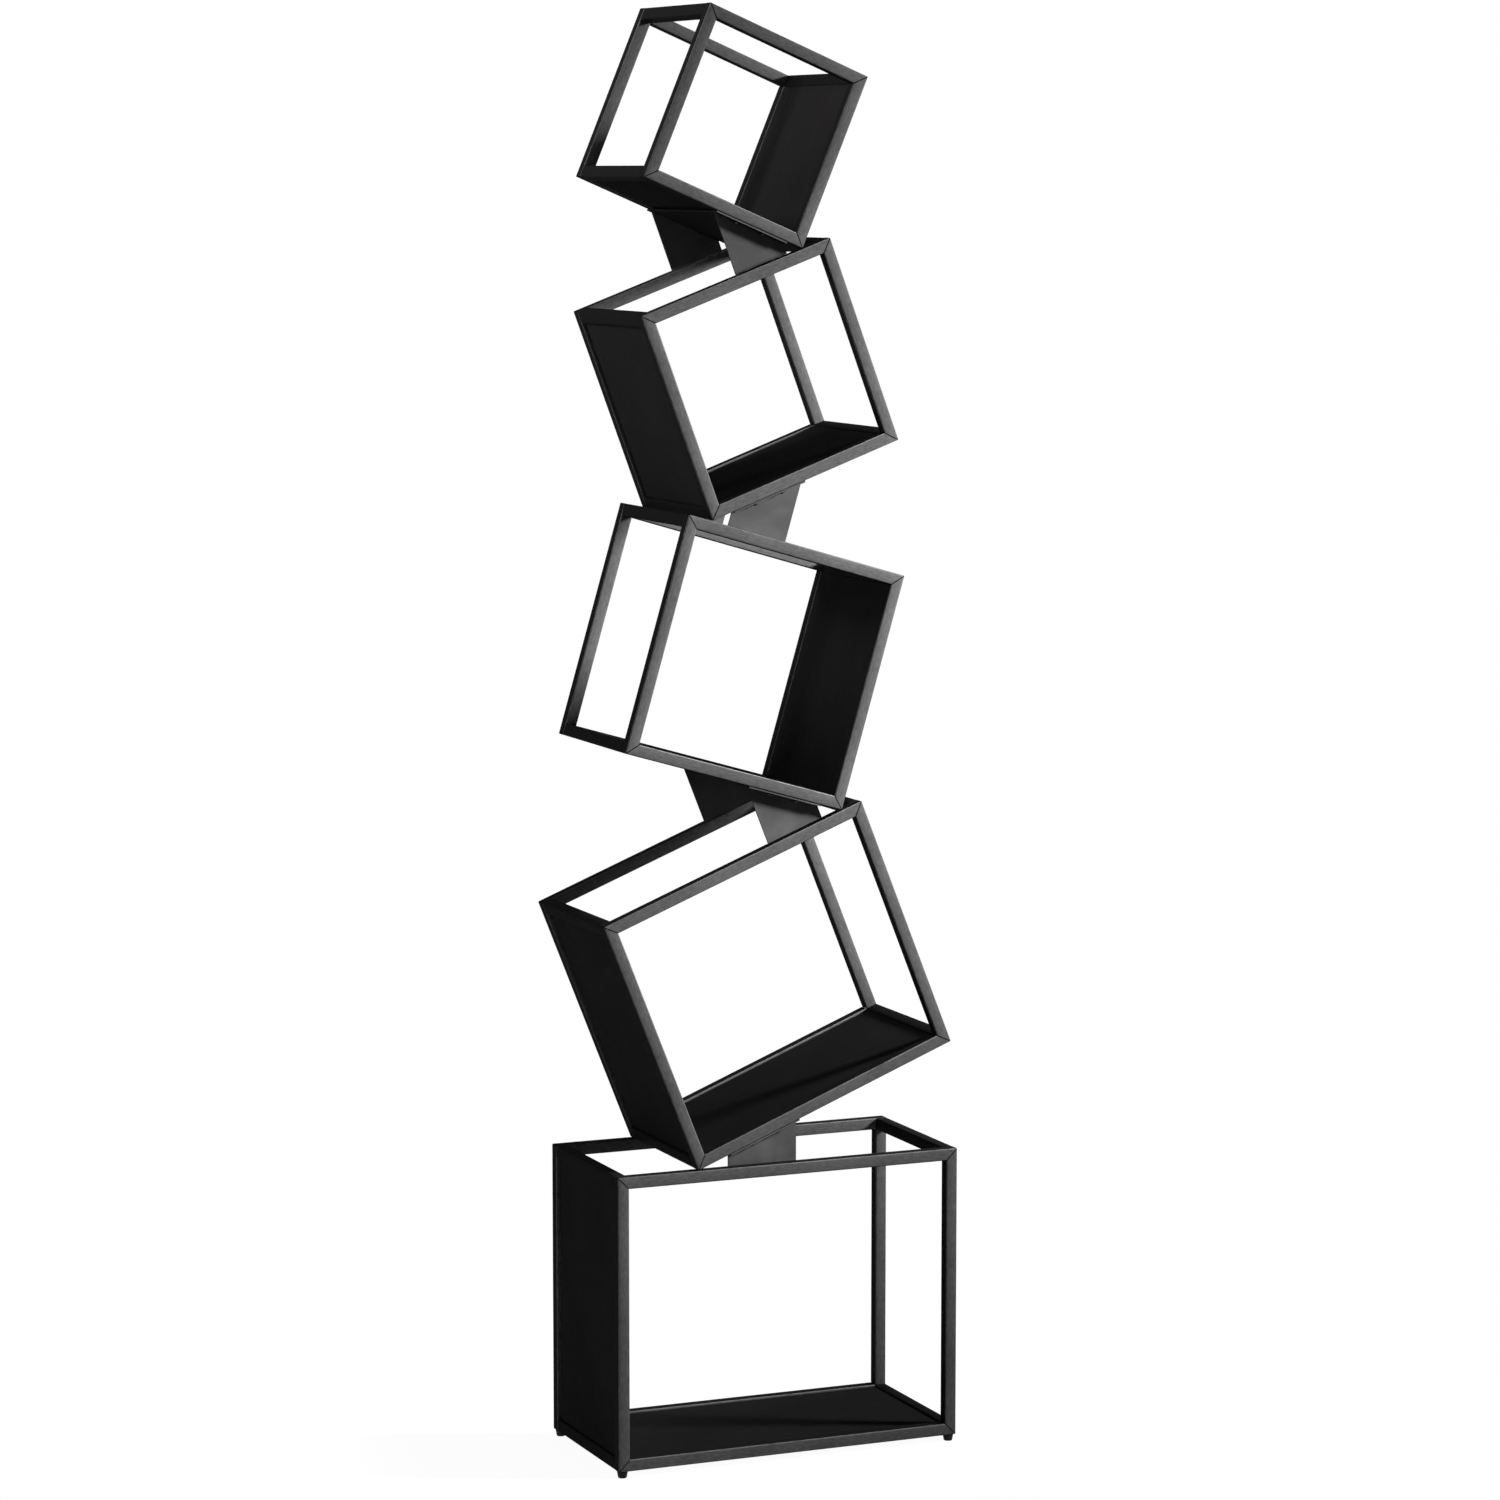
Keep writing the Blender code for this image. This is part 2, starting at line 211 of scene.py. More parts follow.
class GroupBuilder(Wiring):
    """Builds one shader node group, with named inputs and outputs."""

    def __init__(self, name: str) -> None:
        """Starts an empty group.

        Args:
            name: The group's name.
        """
        super().__init__(bpy.data.node_groups.new(name, "ShaderNodeTree"))
        self.source = self.add("NodeGroupInput")
        self.result = self.add("NodeGroupOutput")

    def vector_in(self, name: str) -> NodeSocket:
        """Adds a vector input and returns its socket inside the group."""
        self.tree.interface.new_socket(name, in_out="INPUT", socket_type="NodeSocketVector")
        return self.source.outputs[name]

    def float_in(self, name: str, value: float) -> NodeSocket:
        """Adds a number input.

        Args:
            name: The input's name.
            value: Its value where nothing feeds it.

        Returns:
            Its socket inside the group.
        """
        made = self.tree.interface.new_socket(name, in_out="INPUT", socket_type="NodeSocketFloat")
        made.default_value = value
        return self.source.outputs[name]

    def float_out(self, name: str, socket: NodeSocket) -> None:
        """Adds a number output that is fed by a socket."""
        self.tree.interface.new_socket(name, in_out="OUTPUT", socket_type="NodeSocketFloat")
        self.plug(self.result.inputs[name], socket)


@cache
def brushing_group() -> NodeTree:
    """Fine streaks that follow the first axis of a vector.

    Returns:
        The node group, with the output Streak from 0 to 1.
    """
    group = GroupBuilder("brushing")
    split = group.add("ShaderNodeSeparateXYZ", Vector=group.vector_in("Flow"))
    join = group.add(
        "ShaderNodeCombineXYZ",
        X=group.math("MULTIPLY", split.outputs["X"], group.float_in("Along", 12.0)),
        Y=group.math("MULTIPLY", split.outputs["Y"], group.float_in("Across", 900.0)),
    )
    noise = group.add(
        "ShaderNodeTexNoise", Vector=join.outputs["Vector"], Scale=1.0, Detail=3.0, Roughness=0.65
    )
    group.float_out("Streak", group.spread(noise.outputs["Fac"], *NOISE_BAND))
    return group.tree


@cache
def grain_group() -> NodeTree:
    """The fine orange-peel grain of a sprayed coat, with a slow cloud over it.

    Returns:
        The node group, with the outputs Grain and Cloud from 0 to 1.
    """
    group = GroupBuilder("coat_grain")
    place = group.vector_in("Place")
    fine = group.float_in("Grains per metre", 1500.0)
    slow = group.float_in("Clouds per metre", 14.0)
    for pattern, scale, detail in ((Pattern.GRAIN, fine, 2.0), (Pattern.CLOUD, slow, 3.0)):
        noise = group.add("ShaderNodeTexNoise", Vector=place, Scale=scale, Detail=detail)
        group.float_out(pattern.value, group.spread(noise.outputs["Fac"], *NOISE_BAND))
    return group.tree


@cache
def edge_highlight_group() -> NodeTree:
    """Painted highlight on rounded edges, broken up along their length.

    Returns:
        The node group, with the output Highlight from 0 to 1.
    """
    group = GroupBuilder("painted_edge_highlight")
    place = group.vector_in("Place")
    rim = group.float_in("Rim", 0.0)
    patches = group.float_in("Patches per metre", 60.0)
    noise = group.add("ShaderNodeTexNoise", Vector=place, Scale=patches, Detail=4.0)
    broken = group.spread(noise.outputs["Fac"], 0.2, 0.5)
    group.float_out("Highlight", group.math("MULTIPLY", rim, broken))
    return group.tree


@cache
def crown_group() -> NodeTree:
    """The slight belly of a drawn tube's flat sides, from the second axis of a map.

    Returns:
        The node group, with the output Height in metres, 0 at the middle of each side.
    """
    group = GroupBuilder("crown")
    split = group.add("ShaderNodeSeparateXYZ", Vector=group.vector_in("Flow"))
    side = group.float_in("Side", 0.015)
    slope = group.float_in("Slope", 0.09)
    across = group.math("FLOORED_MODULO", split.outputs["Y"], side)
    offset = group.math("SUBTRACT", across, group.math("MULTIPLY", side, 0.5))
    squared = group.math("MULTIPLY", offset, offset)
    drop = group.math("MULTIPLY", squared, group.math("DIVIDE", slope, side))
    group.float_out("Height", group.math("MULTIPLY", drop, -1.0))
    return group.tree


# Finishes


class Surface(Wiring):
    """A Principled material, with the few steps that every finish here takes."""

    def __init__(self, name: str) -> None:
        """Starts the material.

        Args:
            name: The material's name.
        """
        self.material = bpy.data.materials.new(name)
        self.material.use_nodes = True
        super().__init__(self.material.node_tree)
        self.shader = self.tree.nodes["Principled BSDF"]
        self.place = self.add("ShaderNodeTexCoord").outputs["Object"]

    def feed(self, **inputs: object) -> Material:
        """Fills the shader's inputs and returns the material."""
        self.fill(self.shader, **inputs)
        return self.material

    def flow(self) -> NodeSocket:
        """The piece's own map, which runs along its stock."""
        return self.add("ShaderNodeUVMap", uv_map=FLOW_MAP).outputs["UV"]

    def mask(self, name: str) -> NodeSocket:
        """One of the piece's own masks, from 0 to 1."""
        return self.add("ShaderNodeAttribute", attribute_name=name).outputs["Fac"]

    def group(self, tree: NodeTree, **inputs: object) -> Node:
        """Places a shared group, with its inputs by name, and returns its node."""
        return self.add("ShaderNodeGroup", node_tree=tree, **inputs)

    def blend(self, factor: NodeSocket | float, *colours: NodeSocket | Colour) -> NodeSocket:
        """Mixes two colours.

        Args:
            factor: How much of the second one shows, from 0 to 1.
            *colours: The two colours.

        Returns:
            The socket of the mixed colour.
        """
        node = self.add("ShaderNodeMix", data_type="RGBA", Factor=factor)
        for socket, colour in zip(node.inputs[MIX_COLOURS], colours):
            self.plug(socket, colour)
        return node.outputs[MIXED_COLOUR]

    def pattern(self, share: float, first: NodeSocket, second: NodeSocket) -> NodeSocket:
        """Mixes two patterns, with this share of the second one."""
        return self.add("ShaderNodeMix", Factor=share, A=first, B=second).outputs["Result"]

    def slant_shade_mask(self, start: float, end: float) -> NodeSocket:
        """A mask for painted shade, which rises as the face turns from square on, 0, to edge-on, 1,
        to the eye.
        """
        weight = self.add("ShaderNodeLayerWeight", Blend=0.5)
        return self.spread(weight.outputs["Facing"], start, end)

    def bump(self, height: NodeSocket, **settings: object) -> NodeSocket:
        """A normal that is raised by a pattern or a height in metres."""
        return self.add("ShaderNodeBump", Height=height, **settings).outputs["Normal"]


@dataclass(frozen=True)
class BlackenedSteel:
    """Matt dark grey coat on steel, with painted shade near black at a slant and painted highlights
    on edges.
    """

    slot: Slot = Slot.STEEL
    name: str = "blackened_steel"
    deep: Colour = (0.155, 0.155, 0.157)
    sheen: Colour = (0.280, 0.280, 0.283)
    # Painted highlight along the middle of rounded edges on the lit side
    highlight_colour: Colour = (0.50, 0.50, 0.505)
    joint: Colour = (0.009, 0.009, 0.009)
    # Painted shade: the near black that faces take as they turn to a slant from the eye, and where
    # that comes on
    slant_shade: Colour = (0.030, 0.029, 0.0285)
    shade_from: float = 0.2
    shade_to: float = 0.6
    metal_share: float = 0.02
    brushed: float = 0.65
    smooth: float = 0.34
    rough: float = 0.44
    belly: float = 0.13
    streaks_along: float = 120.0
    streaks_across: float = 500.0
    relief: float = 0.22
    relief_height: float = 0.00003

    @cache
    def material(self) -> Material:
        """Builds the finish when it is first used.

        Returns:
            The material, which reads the piece's flow map and both of its masks.
        """
        surface = Surface(self.name)
        flow = surface.flow()
        streak = surface.group(
            brushing_group(), Flow=flow, Along=self.streaks_along, Across=self.streaks_across
        ).outputs["Streak"]
        grain = surface.group(grain_group(), Place=surface.place)
        highlight = surface.group(edge_highlight_group(), Place=surface.place, Rim=surface.mask(RIM_MASK))
        crown = surface.group(crown_group(), Flow=flow, Slope=self.belly)
        pattern = surface.pattern(self.brushed, grain.outputs["Cloud"], streak)
        coat = surface.blend(pattern, self.deep, self.sheen)
        # Painted highlight on the rounded edges that face the key light
        highlighted = surface.blend(highlight.outputs["Highlight"], coat, self.highlight_colour)
        # Painted shade: faces seen at a slant are darkened towards near black
        turned = surface.slant_shade_mask(self.shade_from, self.shade_to)
        slant_shaded = surface.blend(turned, highlighted, self.slant_shade)
        fine = surface.pattern(self.brushed, grain.outputs["Grain"], streak)
        belly = surface.bump(crown.outputs["Height"], Strength=1.0, Distance=1.0)
        normal = surface.bump(fine, Strength=self.relief, Distance=self.relief_height, Normal=belly)
        return surface.feed(
            Base_Color=surface.blend(surface.mask(JOINT_MASK), slant_shaded, self.joint),
            Roughness=surface.between(pattern, self.smooth, self.rough),
            Metallic=self.metal_share,
            Specular_IOR_Level=0.0,
            Normal=normal,
        )


@dataclass(frozen=True)
class BlackBoard:
    """Black stained board with a low sheen and a faint grain."""

    slot: Slot = Slot.BOARD
    name: str = "black_board"
    deep: Colour = (0.037, 0.0345, 0.0357)
    light: Colour = (0.0535, 0.0498, 0.0511)
    smooth: float = 0.55
    rough: float = 0.68
    pores_along: float = 18.0
    pores_across: float = 420.0
    clouds: float = 7.0
    cloud_share: float = 0.5
    relief: float = 0.3
    relief_height: float = 0.00004

    @cache
    def material(self) -> Material:
        """Builds the finish when it is first used.

        Returns:
            The material, which reads the piece's flow map.
        """
        surface = Surface(self.name)
        pores = surface.group(
            brushing_group(), Flow=surface.flow(), Along=self.pores_along, Across=self.pores_across
        ).outputs["Streak"]
        grain = surface.group(grain_group(), Place=surface.place, Clouds_per_metre=self.clouds)
        veined = surface.blend(pores, self.deep, self.light)
        clouded = surface.blend(grain.outputs["Cloud"], self.deep, self.light)
        return surface.feed(
            Base_Color=surface.blend(self.cloud_share, veined, clouded),
            Roughness=surface.between(pores, self.smooth, self.rough),
            Specular_IOR_Level=0.0,
            Normal=surface.bump(pores, Strength=self.relief, Distance=self.relief_height),
        )


@dataclass(frozen=True)
class FineCoat:
    """A fine-grained finish in two colours, with a cloud from one to the other."""

    slot: Slot
    name: str
    deep: Colour
    light: Colour
    smooth: float
    rough: float
    grains: float
    clouds: float
    relief: float = 0.2
    relief_height: float = 0.00002
    roughened_by: Pattern = Pattern.GRAIN
    metal_share: float = 1.0
    specular: float = 0.5
    specular_tint: Colour = WHITE

    @cache
    def material(self) -> Material:
        """Builds the finish when it is first used.

        Returns:
            The material.
        """
        surface = Surface(self.name)
        scales = {"Grains_per_metre": self.grains, "Clouds_per_metre": self.clouds}
        made = surface.group(grain_group(), Place=surface.place, **scales).outputs
        grain = made["Grain"]
        return surface.feed(
            Base_Color=surface.blend(made["Cloud"], self.deep, self.light),
            Roughness=surface.between(made[self.roughened_by.value], self.smooth, self.rough),
            Metallic=self.metal_share,
            Specular_IOR_Level=self.specular,
            Specular_Tint=self.specular_tint,
            Normal=surface.bump(grain, Strength=self.relief, Distance=self.relief_height),
        )


Coat = BlackenedSteel | BlackBoard | FineCoat

STEEL = BlackenedSteel()
SHEET = BlackenedSteel(name="blackened_sheet", brushed=0.12, belly=0.0)
STAINED_BOARD = BlackBoard()
MOULDED_PLASTIC = FineCoat(
    slot=Slot.FOOT,
    name="black_foot",
    deep=(0.006, 0.006, 0.006),
    light=(0.012, 0.012, 0.012),
    smooth=0.5,
    rough=0.68,
    grains=2600.0,
    clouds=90.0,
    relief=0.4,
    relief_height=0.00003,
    metal_share=0.0,
    specular=0.15,
)
ZINC_PLATE = FineCoat(
    slot=Slot.ZINC,
    name="zinc_plate",
    deep=(0.34, 0.345, 0.35),
    light=(0.56, 0.565, 0.57),
    smooth=0.28,
    rough=0.42,
    grains=2200.0,
    clouds=260.0,
    roughened_by=Pattern.CLOUD,
)
BLACK_OXIDE = FineCoat(
    slot=Slot.STEEL,
    name="black_oxide",
    deep=(0.018, 0.018, 0.019),
    light=(0.040, 0.040, 0.042),
    smooth=0.3,
    rough=0.45,
    grains=2400.0,
    clouds=300.0,
    specular_tint=(0.2, 0.2, 0.2),
)


# Shapes


def add_object(name: str, data: ID) -> Object:
    """Adds an object to the scene.

    Args:
        name: The object's name.
        data: Its mesh, lamp or camera.

    Returns:
        The object, at the origin.
    """
    made = bpy.data.objects.new(name, data)
    bpy.context.scene.collection.objects.link(made)
    return made


def add_mesh(name: str, bm: BMesh, material: Material) -> Object:
    """Adds a mesh object to the scene.

    Args:
        name: The object's name.
        bm: Its faces, which are used up.
        material: Its finish.

    Returns:
        The object, at the origin.
    """
    mesh = bpy.data.meshes.new(name)
    bm.to_mesh(mesh)
    bm.free()
    mesh.materials.append(material)
    return add_object(name, mesh)


def corners(faces: Iterable[BMFace]) -> Iterator[BMLoop]:
    """The corners of some faces, each with its own values in a map or mask."""
    return (loop for face in faces for loop in face.loops)


def quarter_round(radius: float, end: float, reach: float, steps: int) -> Profile:
    """The rounding from the side of a turned shape to its end.

    Args:
        radius: Radius of the side.
        end: Height of the end.
        reach: Radius of the rounding.
        steps: Number of faces across it.

    Returns:
        Radius and height of each point.
    """
    angles = (step / steps * math.pi / 2 for step in range(steps + 1))
    return [
        (radius - reach * (1 - math.cos(angle)), end + reach * (1 - math.sin(angle)))
        for angle in angles
    ]


class Shape:
    """A mesh under construction, with a map along its stock and masks for its edges and joints."""

    def __init__(self, flat: bool = True) -> None:
        """Starts an empty shape.

        Args:
            flat: Whether its large faces are kept flat beside their rounded edges.
        """
        self.flat = flat
        self.bm = bmesh.new()
        self.uv = self.bm.loops.layers.uv.new(FLOW_MAP)
        self.rim = self.bm.loops.layers.float.new(RIM_MASK)
        self.joint = self.bm.loops.layers.float.new(JOINT_MASK)

    @classmethod
    def block(cls, low: Point, high: Point) -> Shape:
        """Makes a box between two corners.

        Args:
            low: The lowest corner.
            high: The highest corner.

        Returns:
            The new shape.
        """
        shape = cls()
        low, high = Vector(low), Vector(high)
        place = Matrix.Translation((low + high) / 2) @ Matrix.Diagonal((*(high - low), 1.0))
        bmesh.ops.create_cube(shape.bm, size=1.0, matrix=place)
        return shape.smoothed()

    @classmethod
    def turned(cls, profile: Profile, sides: int) -> Shape:
        """Turns a profile about the Z axis.

        Args:
            profile: Radius and height of each point, from one end to the other.
            sides: Number of flat sides of the turned shape.

        Returns:
            The new shape, closed.
        """
        shape = cls(flat=False)
        verts = [shape.bm.verts.new((radius, 0.0, z)) for radius, z in profile]
        edges = [shape.bm.edges.new(pair) for pair in zip(verts, verts[1:])]
        bmesh.ops.spin(
            shape.bm,
            geom=verts + edges,
            cent=(0.0, 0.0, 0.0),
            axis=(0.0, 0.0, 1.0),
            angle=2 * math.pi,
            steps=sides,
            use_merge=True,
        )
        bmesh.ops.remove_doubles(shape.bm, verts=shape.bm.verts, dist=TOLERANCE)
        bmesh.ops.recalc_face_normals(shape.bm, faces=shape.bm.faces)
        return shape.smoothed()

    @classmethod
    def sheet(cls, outline: Iterable[Vector], near: float, thickness: float) -> Shape:
        """Cuts a shape out of sheet that stands across the Y axis.

        Args:
            outline: X and Z of its corners.
            near: Y of its front.
            thickness: How far it goes back from there.

        Returns:
            The new shape.
        """
        shape = cls()
        face = shape.bm.faces.new([shape.bm.verts.new((x, near, z)) for x, z in outline])
        made = bmesh.ops.extrude_face_region(shape.bm, geom=[face])
        moved = [item for item in made["geom"] if isinstance(item, BMVert)]
        bmesh.ops.translate(shape.bm, vec=(0.0, thickness, 0.0), verts=moved)
        bmesh.ops.recalc_face_normals(shape.bm, faces=shape.bm.faces)
        return shape.smoothed()

    def smoothed(self) -> Shape:
        """Marks every face for smooth shading.

        Returns:
            The shape.
        """
        for face in self.bm.faces:
            face.smooth = True
        return self

    def edges_along(self, axis: int) -> list[BMEdge]:
        """The edges that run along an axis."""
        lines = ((edge, edge.verts[0].co - edge.verts[1].co) for edge in self.bm.edges)
        return [edge for edge, line in lines if abs(line.normalized()[axis]) > RUNS_ALONG]

    def bevel(self, edges: Iterable[BMEdge], reach: float, segments: int) -> list[BMFace]:
        """Bevels edges and returns the new faces."""
        sizes = {"offset": reach, "segments": segments, "profile": 0.5, "material": -1}
        return bmesh.ops.bevel(self.bm, geom=list(edges), affect="EDGES", **sizes)["faces"]

    def soften(
        self, edges: Iterable[BMEdge], radius: float, segments: int = 2, highlighted: float = 1.0
    ) -> None:
        """Rounds edges and marks the middle of each rounding in the rim mask.

        Args:
            edges: The edges to round.
            radius: How far the rounding reaches from each edge.
            segments: Number of faces across it.
            highlighted: Value of the rim mask along the middle, where the painted highlight goes.
        """
        self.bm.normal_update()
        beside = {face for edge in edges for face in edge.link_faces}
        planes = [(face.normal.copy(), face.calc_center_median()) for face in beside]
        for loop in corners(self.bevel(edges, radius, segments)):
            co = loop.vert.co
            if all(abs(normal.dot(co - centre)) > TOLERANCE for normal, centre in planes):
                loop[self.rim] = highlighted

    def chamfer_ends(self, axis: int, reach: float) -> None:
        """Cuts a narrow dark chamfer round both ends of a tube, where it meets others.

        Args:
            axis: The axis that the tube lies along.
            reach: How far the chamfer reaches.
        """
        self.bm.normal_update()
        ends = [face for face in self.bm.faces if abs(face.normal[axis]) > FACES_ALONG]
        rims = dict.fromkeys(edge for face in ends for edge in face.edges)
        made = self.bevel(rims, reach, 1)
        for face in made:
            face.smooth = False
        for loop in corners(made):
            loop[self.joint] = 1.0

    def flow_along(self, axis: int) -> None:
        """Lays the flow map, in metres, before the shape is put in place.

        Args:
            axis: The axis that it follows.
        """
        for loop in corners(self.bm.faces):
            co = loop.vert.co
            loop[self.uv].uv = (co[axis], co.x + co.y + co.z - co[axis])

    def put(self, place: Matrix) -> Shape:
        """Moves the shape to a place and returns it."""
        bmesh.ops.transform(self.bm, matrix=place, verts=self.bm.verts)
        return self

    def take(self, other: Shape) -> None:
        """Adds another shape's faces to this one.

        Args:
            other: The other shape, which is used up.
        """
        mesh = bpy.data.meshes.new("taken")
        other.bm.to_mesh(mesh)
        self.bm.from_mesh(mesh)
        other.bm.free()
        bpy.data.meshes.remove(mesh)

    def fade_highlight_away_from_light(self) -> None:
        """Fades the painted highlight's rim mask out on the edges that face away from the key
        light.
        """
        self.bm.normal_update()
        for loop in corners(self.bm.faces):
            facing = loop.vert.normal.dot(HIGHLIGHT_SIDE)
            loop[self.rim] *= min(max(HIGHLIGHT_ONSET * facing, 0.0), 1.0)

    def finish(self, name: str, coat: Coat, body: str, *nodes: str) -> None:
        """Makes the piece, with its body and the CAD nodes that it stands for.

        Args:
            name: The piece's name.
            coat: Its finish.
            body: The CAD body that it rides on.
            *nodes: CAD nodes that it replaces, if any.
        """
        self.fade_highlight_away_from_light()
        piece = add_mesh(name, self.bm, coat.material())
        if self.flat:
            modifier = piece.modifiers.new("Flat faces", "WEIGHTED_NORMAL")
            modifier.keep_sharp = True
        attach(piece, body)
        if nodes:
            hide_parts(*nodes)
        LOG.info("%s rides on %s: %d faces", name, body, len(piece.data.polygons))


# Stock


@dataclass(frozen=True)
class SquareTube:
    """The tube of the frames and rails."""

    size: float = 0.015
    corner: float = 0.0015
    corner_segments: int = 4
    seam: float = 0.0006
    seam_gap: float = 0.00003

    @property
    def inside(self) -> float:
        """Distance from a box's outside to what is let in between its tubes."""
        return self.size + CLEARANCE

    def middle(self, span: float, far: bool) -> float:
        """The centre line of the tube at the near or the far end of a span."""
        return span - self.size / 2 if far else self.size / 2

    def mitred(self, length: float) -> Shape:
        """Makes one tube of a frame, with its ends cut at 45 degrees.

        The tube lies along +X, its outer side at Z = 0 and its front at Y = 0.

        Args:
            length: Length of its outer side.

        Returns:
            The new shape.
        """
        gap = self.seam_gap
        shape = Shape.block((gap, 0.0, 0.0), (length - gap, self.size, self.size))
        for vert in shape.bm.verts:
            if vert.co.z > self.size / 2:
                vert.co.x += self.size if vert.co.x < length / 2 else -self.size
        return self.dressed(shape, 0, self.seam)

    def square_cut(self, length: float) -> Shape:
        """Makes one tube with square ends, along +Y on its centre line.

        Args:
            length: Its whole length.

        Returns:
            The new shape.
        """
        half = self.size / 2
        shape = Shape.block((-half, 0.0, -half), (half, length, half))
        return self.dressed(shape, 1, self.seam / 2)

    def dressed(self, shape: Shape, axis: int, seam: float) -> Shape:
        """Rounds a tube's long edges, chamfers its ends and lays its map.

        Args:
            shape: The tube.
            axis: The axis that it lies along.
            seam: How far the chamfers reach.

        Returns:
            The tube.
        """
        shape.soften(shape.edges_along(axis), self.corner, self.corner_segments)
        shape.chamfer_ends(axis, seam)
        shape.flow_along(axis)
        return shape


TUBE = SquareTube()


@dataclass(frozen=True)
class Board:
    """The boards let into the boxes."""

    thickness: float = 0.009
    edge: float = 0.0005
    below_tube_top: float = 0.0025
    behind_tube_face: float = 0.005

    def cut(self, low: Point, high: Point, grain_axis: int) -> Shape:
        """Makes a board between two corners.

        Args:
            low: The lowest corner.
            high: The highest corner.
            grain_axis: The axis that its grain follows.

        Returns:
            The new shape.
        """
        shape = Shape.block(low, high)
        shape.soften(shape.bm.edges[:], self.edge)
        shape.flow_along(grain_axis)
        return shape


BOARD = Board()


@dataclass(frozen=True)
class PanScrew:
    """Low round head with a hexagon socket, on a plain shank. Its seat is at Z = 0, head down."""

    shank_radius: float = 0.002
    shank_length: float = 0.009
    tip_share: float = 0.8
    tip_reach: float = 0.2
    head_radius: float = 0.00325
    head_height: float = 0.0024
    head_round: float = 0.0009
    socket_radius: float = 0.0013
    socket_depth: float = 0.0012
    sides: int = 24
    round_steps: int = 5

    def shape(self) -> Shape:
        """Makes the screw.

        Returns:
            The new shape, closed.
        """
        head_end = -self.head_height
        socket_end = self.socket_depth - self.head_height
        profile = [
            (0.0, self.shank_length),
            (self.shank_radius * self.tip_share, self.shank_length),
            (self.shank_radius, self.shank_length - self.shank_radius * self.tip_reach),
            (self.shank_radius, 0.0),
            (self.head_radius, 0.0),
            *quarter_round(self.head_radius, head_end, self.head_round, self.round_steps),
            (self.socket_radius, head_end),
            (self.socket_radius, socket_end),
            (0.0, socket_end),
        ]
        shape = Shape.turned(profile, self.sides)
        for vert in shape.bm.verts:
            if vert.co.z < 0.0 and abs(vert.co.xy.length - self.socket_radius) < TOLERANCE:
                # Out of the round onto the hexagon round it
                turn = math.atan2(vert.co.y, vert.co.x)
                off_flat = (turn + math.pi / 6) % (math.pi / 3) - math.pi / 6
                vert.co.xy /= math.cos(off_flat)
        return shape


SCREW = PanScrew()


# Boxes


@dataclass(frozen=True)
class OpenBox:
    """One open box of the stack. Its frame has its origin at its bottom left front corner."""

    name: str
    width: float
    height: float
    lean: float
    panel: Side
    stands_in: float = 0.0
    bracket_start: float = 0.0

    @property
    def away(self) -> int:
        """Which way along X the underside rises: 1 from the left corner, -1 from the right one."""
        return 1 if self.lean >= 0 else -1

    @property
    def stood_on(self) -> float:
        """X of the corner that the box stands on."""
        return 0.0 if self.away > 0 else self.width

    def under(self, distance: float) -> float:
        """X of a point on the underside, this far from the corner that the box stands on."""
        return self.stood_on + self.away * distance

    def leaning(self) -> Matrix:
        """The turn of the box about the corner that it stands on, which goes to the origin."""
        lean = Matrix.Rotation(-math.radians(self.lean), 4, "Y")
        return lean @ Matrix.Translation((-self.stood_on, 0.0, 0.0))

    def build(self, place: Matrix) -> None:
        """Builds the two frames, four rails and two boards.

        Args:
            place: The box's frame in the CAD frame.
        """
        pieces = [
            (self.frame(end), f"{end.value}_tubes", STEEL, f"{end.value}_frame") for end in End
        ]
        for level, side in product(Level, Side):
            word = f"{level.value}_{side.value}"
            pieces.append((self.rail(level, side), f"{word}_tube", STEEL, f"{word}_rail"))
        shelf, side_board = self.boards()
        pieces.append((shelf, "shelf_board", STAINED_BOARD, "shelf"))
        pieces.append((side_board, "side_board", STAINED_BOARD, "side_panel"))
        for shape, name, coat, node in pieces:
            shape.put(place).finish(f"{self.name}_{name}", coat, BODY, f"{self.name}_{node}")

    def frame(self, end: End) -> Shape:
        """Makes one frame of four mitred tubes.

        Args:
            end: Which frame.

        Returns:
            The shape, in the box's frame.
        """
        at = 0.0 if end is End.FRONT else DEPTH - TUBE.size
        turns = (
            ((0.0, at, 0.0), 0, self.width),
            ((self.width, at, 0.0), -90, self.height),
            ((self.width, at, self.height), 180, self.width),
            ((0.0, at, self.height), 90, self.height),
        )
        ring = Shape()
        for corner, angle, length in turns:
            turn = Matrix.Rotation(math.radians(angle), 4, "Y")
            ring.take(TUBE.mitred(length).put(Matrix.Translation(corner) @ turn))
        return ring

    def rail(self, level: Level, side: Side) -> Shape:
        """Makes one depth rail between the two frames.

        Args:
            level: Whether it runs along the bottom or the top.
            side: The side that it runs along.

        Returns:
            The shape, in the box's frame.
        """
        x = TUBE.middle(self.width, side is Side.RIGHT)
        z = TUBE.middle(self.height, level is Level.TOP)
        rail = TUBE.square_cut(DEPTH - 2 * TUBE.inside)
        return rail.put(Matrix.Translation((x, TUBE.inside, z)))

    def boards(self) -> tuple[Shape, Shape]:
        """Makes the board in the bottom of the box and the one in its closed side.

        Returns:
            The two shapes, in the box's frame.
        """
        near, back = TUBE.inside, DEPTH - TUBE.inside
        top = TUBE.size - BOARD.below_tube_top
        outer = BOARD.behind_tube_face
        if self.panel is Side.RIGHT:
            outer = self.width - BOARD.behind_tube_face - BOARD.thickness
        shelf = (near, near, top - BOARD.thickness), (self.width - near, back, top)
        side = (outer, near, near), (outer + BOARD.thickness, back, self.height - near)
        return BOARD.cut(*shelf, grain_axis=0), BOARD.cut(*side, grain_axis=2)


